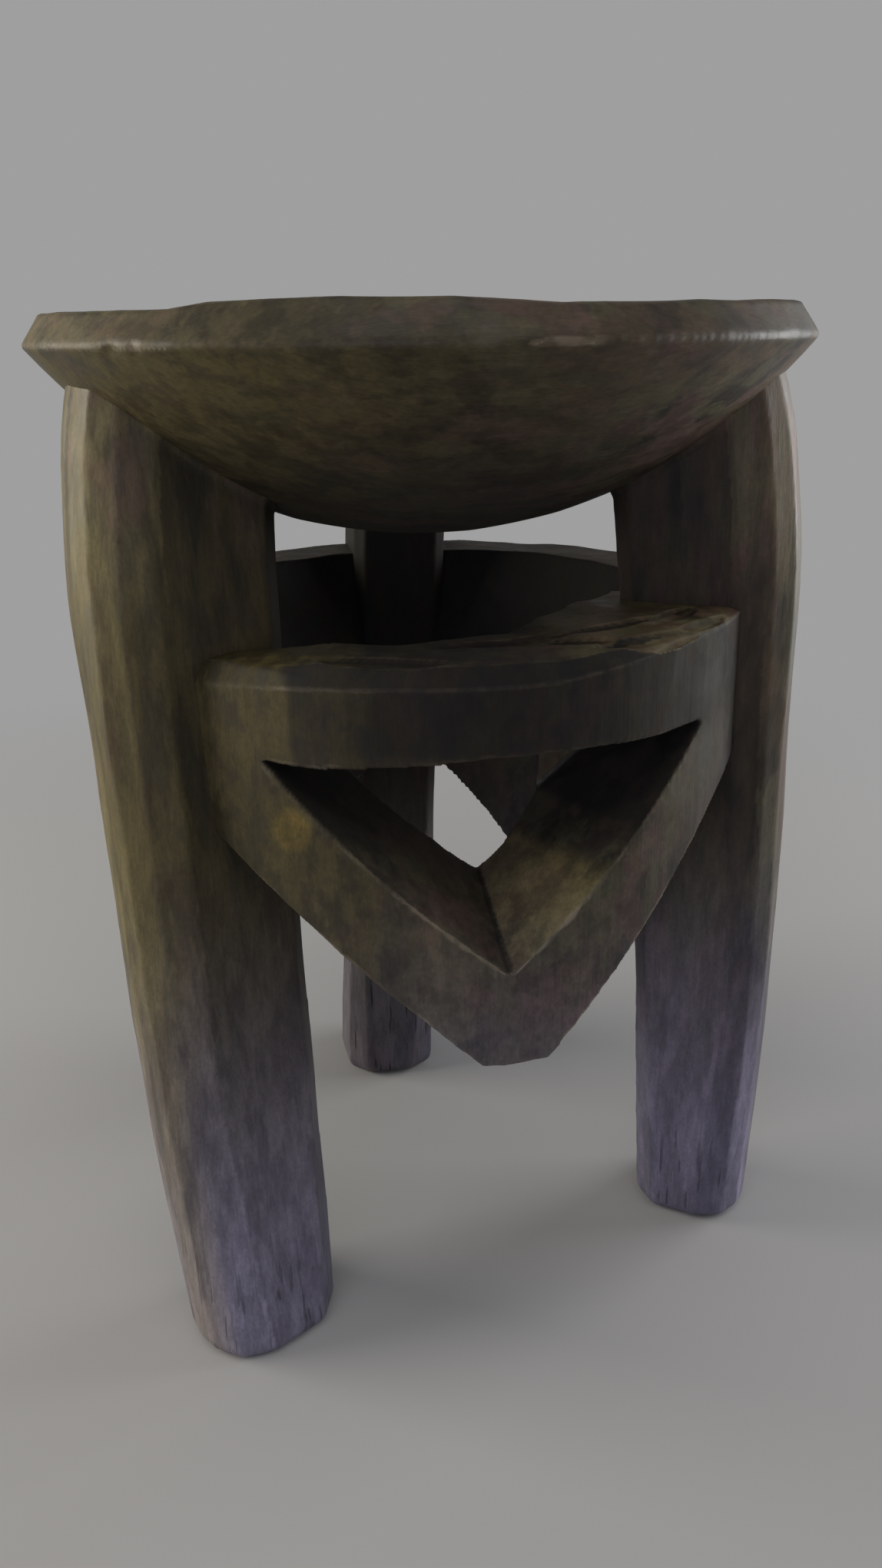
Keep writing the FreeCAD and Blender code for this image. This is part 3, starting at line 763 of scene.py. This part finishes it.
def cut_top(bar, sizes):
    """Takes the shallow cuts out of the front panel's top, each with one steep and one easy side."""
    places = points_of(bar)
    top = smoothstep(sizes.ring_height - 6 * MM, sizes.ring_height - 3 * MM, places[:, 2])
    top *= smoothstep(0.3, 0.7, normals_of(bar)[:, 2])
    for x, y, long, wide, degrees, depth in TOP_CUTS:
        turn = math.radians(degrees)
        across = places[:, :2] - np.array((x, y)) * MM
        along = (across[:, 0] * math.cos(turn) + across[:, 1] * math.sin(turn)) / (long * MM)
        over = (across[:, 1] * math.cos(turn) - across[:, 0] * math.sin(turn)) / (wide * MM)
        over = np.where(over > 0, over * CUT_STEEPNESS, over)
        places[:, 2] -= depth * MM * np.clip(1 - along ** 2 - over ** 2, 0, 1) ** 0.5 * top
    move_points(bar, places)


def chamfer_highlight(bar, middle):
    """A painted highlight along the foot of the front panel's chamfer, which is a thin pale line."""
    places = points_of(bar)
    around = np.degrees((np.arctan2(places[:, 1], places[:, 0]) - middle + math.pi) % math.tau - math.pi)
    foot = np.interp(around, FRONT_TOP_ANGLES, FRONT_CHAMFER_MM) * MM
    line = np.exp(-((places[:, 2] - foot) / (0.9 * MM)) ** 2) * smoothstep(50, 35, np.abs(around))
    outside = np.hypot(places[:, 0], places[:, 1]) > 125 * MM
    return np.where(outside & (line > 0.2), 1.6 * line, -1)


def mark_panel(bar, is_front, sizes):
    """Stores where a panel gets painted shade, where it is warm tan, partly painted light, and where it is
    painted paler.
    """
    places, normals = points_of(bar), normals_of(bar)
    away = places[:, :2] / np.hypot(places[:, 0], places[:, 1])[:, None]
    outward = (normals[:, :2] * away).sum(axis=1)
    inner = smoothstep(0.1, -0.6, outward)
    face = smoothstep(0.3, 0.75, outward)
    top = smoothstep(0.4, 0.8, normals[:, 2]) * (places[:, 2] > sizes.ring_height - 14 * MM)
    walls = (1 - face) * (1 - inner) * (1 - top)
    high = smoothstep(235 * MM, 300 * MM, places[:, 2])
    band = smoothstep(292 * MM, 312 * MM, places[:, 2])
    # Painted shade: the ring's inside, and the window's walls more the higher they are, shaded by the seat
    # and band
    painted_shade = inner * (0.50 + 0.50 * high) + walls * (0.02 + 0.88 * high)
    warmth = 0.4 * face
    tone = np.full(len(places), 0.5)
    if is_front:
        across = places[:, 0] / MM
        level = places[:, 2] / MM

        # The right floor of the window gets a painted shadow above a sharp line and painted warm light below
        right_floor = walls * (across > 4)
        painted_shade -= right_floor * 0.88 * high
        painted_shade += right_floor * (smoothstep(265, 271, level) * 0.60 + smoothstep(250, 256, level) * 0.32)
        painted_shade += right_floor * smoothstep(118, 106, -places[:, 1] / MM) * 0.25 + walls * (across < 4) * 0.15

        # The band's middle gets the seat's painted shadow, the chamfer above it less so, the V's arms and the
        # top some painted shade too, and the left end is warm
        painted_shade += face * band * np.interp(across, FACE_MARK_PLACES_MM, FACE_PAINTED_SHADE)
        painted_shade += face * (1 - band) * (smoothstep(-25, -60, across) * 0.44 + smoothstep(70, 100, across) * 0.38)
        painted_shade += top * np.interp(across, FACE_MARK_PLACES_MM, TOP_PAINTED_SHADE)
        chamfer = smoothstep(0.25, 0.45, normals[:, 2]) * face * band
        painted_shade += chamfer * smoothstep(90, 40, across) * 0.15
        warmth = np.interp(across, FACE_MARK_PLACES_MM, FACE_WARMTH) * (1 - inner) * (1 - 0.8 * walls)
        warmth = np.maximum(warmth, top * smoothstep(30, 70, across) * 0.15)
        # The top's right part is painted paler
        tone += top * smoothstep(20, 50, across) * 0.7
        warmth = np.maximum(warmth, right_floor * 0.6 * smoothstep(258, 250, level))
        tone += right_floor * 0.5 * smoothstep(262, 248, level)
        x, z, half_width, half_height = GOLD_SPOT_MM
        spot = ((across - x) / half_width) ** 2 + ((level - z) / half_height) ** 2
        spot = smoothstep(1.6, 0.2, spot) * face
        warmth += spot * (2 - warmth)
        painted_shade *= 1 - spot
    else:
        # The back panels' band and top get the seat's painted shadow
        painted_shade += face * band * 0.4 + top * 0.3
    store(bar, "tone", tone)
    store(bar, "dust_and_cool_light", 1.0)
    store(bar, "painted_shade", np.clip(painted_shade, 0, 1))
    store(bar, "warmth", warmth)


# A spot on the V's left arm that is rubbed to a golden tan: its distance from the panel's middle and its
# height above the floor, with its half width and half height
GOLD_SPOT_MM = (-80.0, 274.0, 7.5, 10.0)

# Painted shade and warm tan on the front panel, at distances from its middle in mm, from its left end to its
# right
FACE_MARK_PLACES_MM = (-115.0, -81.0, -77.0, -52.0, -46.0, 0.0, 40.0, 80.0, 100.0, 125.0)
FACE_PAINTED_SHADE = (0.26, 0.36, 0.74, 0.84, 0.97, 0.98, 0.88, 0.70, 0.64, 0.60)
TOP_PAINTED_SHADE = (0.22, 0.25, 0.45, 0.55, 0.80, 0.80, 0.30, 0.00, 0.00, 0.00)
FACE_WARMTH = (0.95, 0.95, 0.85, 0.80, 0.30, 0.15, 0.10, 0.05, 0.05, 0.00)


# Materials

def add_node(tree, kind, inputs=None, **settings):
    """Adds a node with its settings; an input is a value, or the output of another node to link from."""
    node = tree.nodes.new(kind)
    for name, value in settings.items():
        setattr(node, name, value)
    for name, value in (inputs or {}).items():
        if isinstance(value, bpy.types.NodeSocket):
            tree.links.new(value, node.inputs[name])
        else:
            node.inputs[name].default_value = value
    return node


def mix_colours(tree, factor, first, second, blend="MIX"):
    """Mixes two colours by a factor."""
    mix = add_node(tree, "ShaderNodeMix", data_type="RGBA", blend_type=blend)
    for socket, value in ((mix.inputs[0], factor), (mix.inputs[6], first), (mix.inputs[7], second)):
        if isinstance(value, bpy.types.NodeSocket):
            tree.links.new(value, socket)
        else:
            socket.default_value = value
    return mix.outputs[2]


def ramp(tree, value, low, high, to_low=0.0, to_high=1.0):
    """Maps a value from one range to another, smoothly and within the limits."""
    node = add_node(tree, "ShaderNodeMapRange", {"Value": value, "From Min": low, "From Max": high,
                                                  "To Min": to_low, "To Max": to_high},
                    interpolation_type="SMOOTHSTEP")
    return node.outputs["Result"]


def times(tree, first, second):
    """Multiplies two values."""
    return add_node(tree, "ShaderNodeMath", {0: first, 1: second}, operation="MULTIPLY").outputs[0]


def plus(tree, first, second):
    """Adds two values."""
    return add_node(tree, "ShaderNodeMath", {0: first, 1: second}, operation="ADD").outputs[0]


def old_wood(name, wood, grain, drawn):
    """Old hardwood, adzed by hand and dark with oil and handling, with painted shade, highlights and light on
    it.

    The eye gets a near-black brown with warm and cool clouds, fine fibres along the grain, dark pores and
    checks, pale worn arrises and a soft uneven polish.
    """
    material = bpy.data.materials.new(name)
    material.use_nodes = True
    tree = material.node_tree
    tree.nodes.clear()
    place = add_node(tree, "ShaderNodeTexCoord").outputs["Object"]
    height = add_node(tree, "ShaderNodeSeparateXYZ", {"Vector": place}).outputs["Z"]

    def pattern(size, stretch, detail=4.0, roughness=0.6, shift=0.0):
        """Noise whose clouds have a size in metres, drawn out along the grain."""
        scale = [1 / (size * (stretch if axis == grain else 1)) for axis in range(3)]
        drawn_out = add_node(tree, "ShaderNodeMapping", {
            "Vector": place, "Scale": scale, "Location": [shift] * 3}).outputs[0]
        return add_node(tree, "ShaderNodeTexNoise", {
            "Vector": drawn_out, "Scale": 1.0, "Detail": detail, "Roughness": roughness}).outputs[0]

    def stored(attribute):
        """A value that the modelling stored on the vertices."""
        return add_node(tree, "ShaderNodeAttribute", attribute_name=attribute).outputs["Fac"]

    def shade(colour_in, value, low, high, darker, lighter):
        """Multiplies a colour by a grey that runs from darker to lighter."""
        grey = mix_colours(tree, ramp(tree, value, low, high), [darker] * 3 + [1.0], [lighter] * 3 + [1.0])
        return mix_colours(tree, 1.0, colour_in, grey, "MULTIPLY")

    # From large clouds down to grit and single fibres
    clouds = pattern(44 * MM, 1.3 * drawn)
    roses = pattern(26 * MM, 1.4 * drawn, shift=7.3)
    olives = pattern(19 * MM, 1.6 * drawn, shift=2.2)
    blots = pattern(11 * MM, 1.5 * drawn, shift=3.1)
    mottle = pattern(4.2 * MM, 1.3 * drawn, detail=6.0, shift=4.4)
    grit = pattern(1.3 * MM, 1.6, detail=2.0, shift=8.8)
    fibres = pattern(1.0 * MM, 18.0, detail=3.0, shift=1.7)
    streaks = pattern(4.5 * MM, 12.0, detail=5.0, shift=5.9)
    figure = pattern(26 * MM, 5.0, detail=5.0, shift=6.1)
    veins = pattern(2.4 * MM, 30.0, detail=4.0, shift=2.9)
    checks = pattern(2.6 * MM, 16.0, detail=2.0, roughness=0.4, shift=9.4)

    bare, deep, rose, tan, gold, olive, smoke_and_shade, worn, dust_and_cool_light = ([*value, 1.0] for value in (
        wood.bare, wood.deep, wood.rose, wood.tan, wood.gold, wood.olive, wood.smoke_and_shade, wood.worn, wood.dust_and_cool_light))
    tone = mix_colours(tree, ramp(tree, clouds, 0.40, 0.56), deep, bare)
    tone = mix_colours(tree, ramp(tree, roses, 0.51, 0.58, 0.0, 0.60), tone, rose)
    tone = mix_colours(tree, ramp(tree, olives, 0.50, 0.56, 0.0, 0.60), tone, olive)
    warmth = times(tree, stored("warmth"), ramp(tree, blots, 0.40, 0.55, 0.65, 1.0))
    tone = mix_colours(tree, warmth, tone, tan)
    golden = times(tree, ramp(tree, stored("warmth"), 1.1, 1.9), ramp(tree, blots, 0.40, 0.56, 0.35, 0.9))
    tone = mix_colours(tree, golden, tone, gold)
    # Cool grey near the feet, partly a dusting and partly painted cool light
    cool_grey_share = times(tree, stored("dust_and_cool_light"), ramp(tree, height, 0.27, 0.03, 0.0, 0.80))
    tone = mix_colours(tree, cool_grey_share, tone, dust_and_cool_light)
    # The stored tone carries the facets' own tones and painted light: sheens, paler feet and lit patches
    tone = shade(tone, stored("tone"), 0.0, 1.5, 0.58, 1.90)
    tone = shade(tone, blots, 0.42, 0.57, 0.86, 1.12)
    tone = shade(tone, mottle, 0.38, 0.62, 0.89, 1.10)
    figured = mix_colours(tree, ramp(tree, figure, 0.40, 0.60), bare, rose)
    figured = shade(figured, veins, 0.42, 0.58, 0.62, 1.22)
    tone = mix_colours(tree, times(tree, stored("figure"), 0.75), tone, figured)
    tone = shade(tone, grit, 0.35, 0.65, 0.92, 1.07)
    tone = shade(tone, streaks, 0.35, 0.65, 0.94, 1.06)
    tone = shade(tone, fibres, 0.35, 0.65, 0.93, 1.06)

    # Arrises are rubbed bare with painted highlights, hollows darken, painted shade is near-black, checks are
    # dark lines
    wear_and_highlight = stored("wear_and_highlight")
    rubbed = times(tree, ramp(tree, wear_and_highlight, 0.40, 0.95, 0.0, 0.50), ramp(tree, roses, 0.44, 0.58, 0.10, 1.0))
    tone = mix_colours(tree, rubbed, tone, worn)
    tone = mix_colours(tree, ramp(tree, wear_and_highlight, 1.1, 1.9, 0.0, 0.8), tone, worn)
    tone = mix_colours(tree, ramp(tree, wear_and_highlight, -0.15, -0.8, 0.0, 0.7), tone, smoke_and_shade)
    painted_shade = times(tree, stored("painted_shade"), ramp(tree, blots, 0.25, 0.65, 1.0, 0.86))
    tone = mix_colours(tree, painted_shade, tone, smoke_and_shade)
    line = times(tree, ramp(tree, checks, 0.39, 0.32), stored("checked"))
    tone = mix_colours(tree, times(tree, line, 0.8), tone, smoke_and_shade)

    roughness = plus(tree, ramp(tree, blots, 0.3, 0.7, 0.42, 0.60), times(tree, painted_shade, 0.35))
    relief = plus(tree, times(tree, fibres, 0.35), times(tree, streaks, 0.8))
    relief = plus(tree, relief, times(tree, line, -2.5))
    bump = add_node(tree, "ShaderNodeBump", {"Height": relief, "Distance": 0.4 * MM, "Strength": 0.6})
    shader = add_node(tree, "ShaderNodeBsdfPrincipled", {
        "Base Color": tone, "Roughness": roughness, "Normal": bump.outputs[0], "IOR": 1.5,
        "Specular IOR Level": 0.22})
    add_node(tree, "ShaderNodeOutputMaterial", {"Surface": shader.outputs[0]})
    return material


def dress(piece, node, material):
    """Gives a finished piece its material and lets it stand for its CAD node."""
    piece.data.materials.clear()
    piece.data.materials.append(material)
    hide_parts(node)
    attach(piece, "root")


def wood_of(name, grain, drawn):
    """The named wood, made once."""
    return bpy.data.materials.get(name) or old_wood(name, bpy.context.scene.stool_wood, grain, drawn)


# Operators

class StoolAddSeat(bpy.types.Operator):
    """Carve the bowl-bottomed seat"""
    bl_idname = "stool.add_seat"
    bl_label = "Add Seat"

    def execute(self, context):
        seat = build_seat(context.scene.stool_seat)
        dress(seat, "seat", wood_of("Adzed smoke-dark hardwood, seat", 0, 1.0))
        return {"FINISHED"}


class StoolAddLegs(bpy.types.Operator):
    """Carve the three legs"""
    bl_idname = "stool.add_legs"
    bl_label = "Add Legs"

    def execute(self, context):
        for leg in LEGS:
            post = build_leg(leg, context.scene.stool_seat, context.scene.stool_legs)
            dress(post, f"leg_{leg}", wood_of("Adzed smoke-dark hardwood, legs", 2, 2.8))
        return {"FINISHED"}


class StoolAddPanels(bpy.types.Operator):
    """Carve the ring of stretcher panels"""
    bl_idname = "stool.add_panels"
    bl_label = "Add Panels"

    def execute(self, context):
        for node in PANEL_PLACES:
            panel = build_panel(node, context.scene.stool_panels)
            dress(panel, node, wood_of("Adzed smoke-dark hardwood, panels", 2, 1.0))
        return {"FINISHED"}


class StoolAddStage(bpy.types.Operator):
    """Lay the floor and set the lamps and the camera"""
    bl_idname = "stool.add_stage"
    bl_label = "Add Stage"

    def execute(self, context):
        add_camera(context.scene.stool_stage)
        add_floor()
        add_light()
        return {"FINISHED"}


def add_camera(settings):
    """Puts the camera where the photograph was taken from."""
    bpy.ops.object.select_all(action="DESELECT")
    bpy.ops.object.camera_add()
    camera = bpy.context.object
    camera.name = "Camera"
    facing = Matrix.Rotation(settings.azimuth, 4, "Z")
    tilt = Matrix.Rotation(math.pi / 2 - settings.pitch, 4, "X") @ Matrix.Rotation(settings.roll, 4, "Z")
    spot = Matrix.Translation(facing @ Vector((settings.aside, -settings.distance, settings.eye)))
    camera.matrix_world = spot @ facing @ tilt
    camera.data.lens = settings.focal
    camera.data.sensor_width = SENSOR_SIDE_MM
    camera.data.clip_start = 0.02
    bpy.context.scene.camera = camera


def add_floor():
    """Lays a wide pale floor that fades into the backdrop's tone far from the stool."""
    bpy.ops.object.select_all(action="DESELECT")
    bpy.ops.mesh.primitive_circle_add(vertices=64, radius=FLOOR_RADIUS, fill_type="NGON", location=(0, 0, 0))
    floor = bpy.context.object
    floor.name = "floor"
    material = bpy.data.materials.new("Matt pale plaster floor")
    material.use_nodes = True
    tree = material.node_tree
    tree.nodes.clear()
    place = add_node(tree, "ShaderNodeTexCoord").outputs["Object"]
    far = add_node(tree, "ShaderNodeVectorMath", {0: place}, operation="LENGTH").outputs["Value"]
    matt = add_node(tree, "ShaderNodeBsdfPrincipled", {
        "Base Color": linear(FLOOR_COLOUR, 1.0), "Roughness": 0.9})
    haze = add_node(tree, "ShaderNodeEmission", {"Color": linear(BACKDROP_COLOUR, 1.0), "Strength": 1.0})
    fade = ramp(tree, far, *FLOOR_FADE)
    mixed = add_node(tree, "ShaderNodeMixShader", {0: fade, 1: matt.outputs[0], 2: haze.outputs[0]})
    add_node(tree, "ShaderNodeOutputMaterial", {"Surface": mixed.outputs[0]})
    floor.data.materials.append(material)


# The floor's radius, the distances from the axis between which it fades, and the tones
FLOOR_RADIUS = 30.0
FLOOR_FADE = (0.42, 1.2)
FLOOR_COLOUR = "#989899"
BACKDROP_COLOUR = "#9f9f9f"


def add_light():
    """Sets an even sky and four large soft lamps: one on each side, one above and one in front."""
    world = bpy.data.worlds.new("Soft studio")
    bpy.context.scene.world = world
    world.use_nodes = True
    tree = world.node_tree
    tree.nodes.clear()
    seen = add_node(tree, "ShaderNodeLightPath").outputs["Is Camera Ray"]
    sky = add_node(tree, "ShaderNodeBackground", {"Color": linear("#ffffff", 1.0), "Strength": SKY_STRENGTH})
    backdrop = add_node(tree, "ShaderNodeBackground", {
        "Color": linear(BACKDROP_COLOUR, 1.0), "Strength": 1.0})
    mixed = add_node(tree, "ShaderNodeMixShader", {0: seen, 1: sky.outputs[0], 2: backdrop.outputs[0]})
    add_node(tree, "ShaderNodeOutputWorld", {"Surface": mixed.outputs[0]})
    for name, place, size, power, tint in SOFTBOXES:
        bpy.ops.object.select_all(action="DESELECT")
        bpy.ops.object.light_add(type="AREA", location=place)
        lamp = bpy.context.object
        lamp.name = name
        lamp.data.shape = "SQUARE"
        lamp.data.size = size
        lamp.data.energy = power
        lamp.data.color = linear(tint)
        aim = Vector((0, 0, LAMP_AIM)) - Vector(place)
        lamp.rotation_euler = aim.to_track_quat("-Z", "Y").to_euler()


# How bright the sky is and how high above the floor the lamps point
SKY_STRENGTH = 0.28
LAMP_AIM = 0.25

# Each lamp's name, place and width in metres, power in watts and tint
SOFTBOXES = (
    ("left softbox", (-1.75, 0.40, 0.72), 1.2, 34.0, "#fff8e8"),
    ("right softbox", (1.75, 0.20, 0.50), 1.2, 29.0, "#ffffff"),
    ("top softbox", (-0.2, -0.7, 2.2), 1.4, 13.0, "#fffaf4"),
    ("front softbox", (-1.0, -2.2, 0.35), 1.6, 18.0, "#e8e6ff"),
)


class StoolPanel(bpy.types.Panel):
    """Lists the steps that make the stool"""
    bl_idname = "VIEW3D_PT_stool"
    bl_label = "Carved Stool"
    bl_space_type = "VIEW_3D"
    bl_region_type = "UI"
    bl_category = "Stool"

    def draw(self, context):
        for group in GROUPS:
            settings = getattr(context.scene, group)
            box = self.layout.box()
            for name in settings.bl_rna.properties.keys():
                if name not in ("rna_type", "name"):
                    box.prop(settings, name)
        for step in STEPS:
            self.layout.operator(step.bl_idname)


STEPS = (StoolAddSeat, StoolAddLegs, StoolAddPanels, StoolAddStage)
GROUPS = {
    "stool_seat": StoolSeatSizes,
    "stool_legs": StoolLegSizes,
    "stool_panels": StoolPanelSizes,
    "stool_wood": StoolWood,
    "stool_stage": StoolStageSettings,
}


def register():
    for kind in (*GROUPS.values(), *STEPS, StoolPanel):
        bpy.utils.register_class(kind)
    for name, group in GROUPS.items():
        setattr(bpy.types.Scene, name, PointerProperty(type=group))


def unregister():
    for name in GROUPS:
        delattr(bpy.types.Scene, name)
    for kind in (StoolPanel, *reversed(STEPS), *reversed(GROUPS.values())):
        bpy.utils.unregister_class(kind)


def main():
    """Makes the whole stool."""
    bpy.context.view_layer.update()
    register()
    bpy.context.scene.view_settings.view_transform = "Standard"
    bpy.ops.stool.add_seat()
    bpy.ops.stool.add_legs()
    bpy.ops.stool.add_panels()
    bpy.ops.stool.add_stage()


if __name__ == "__main__":
    main()
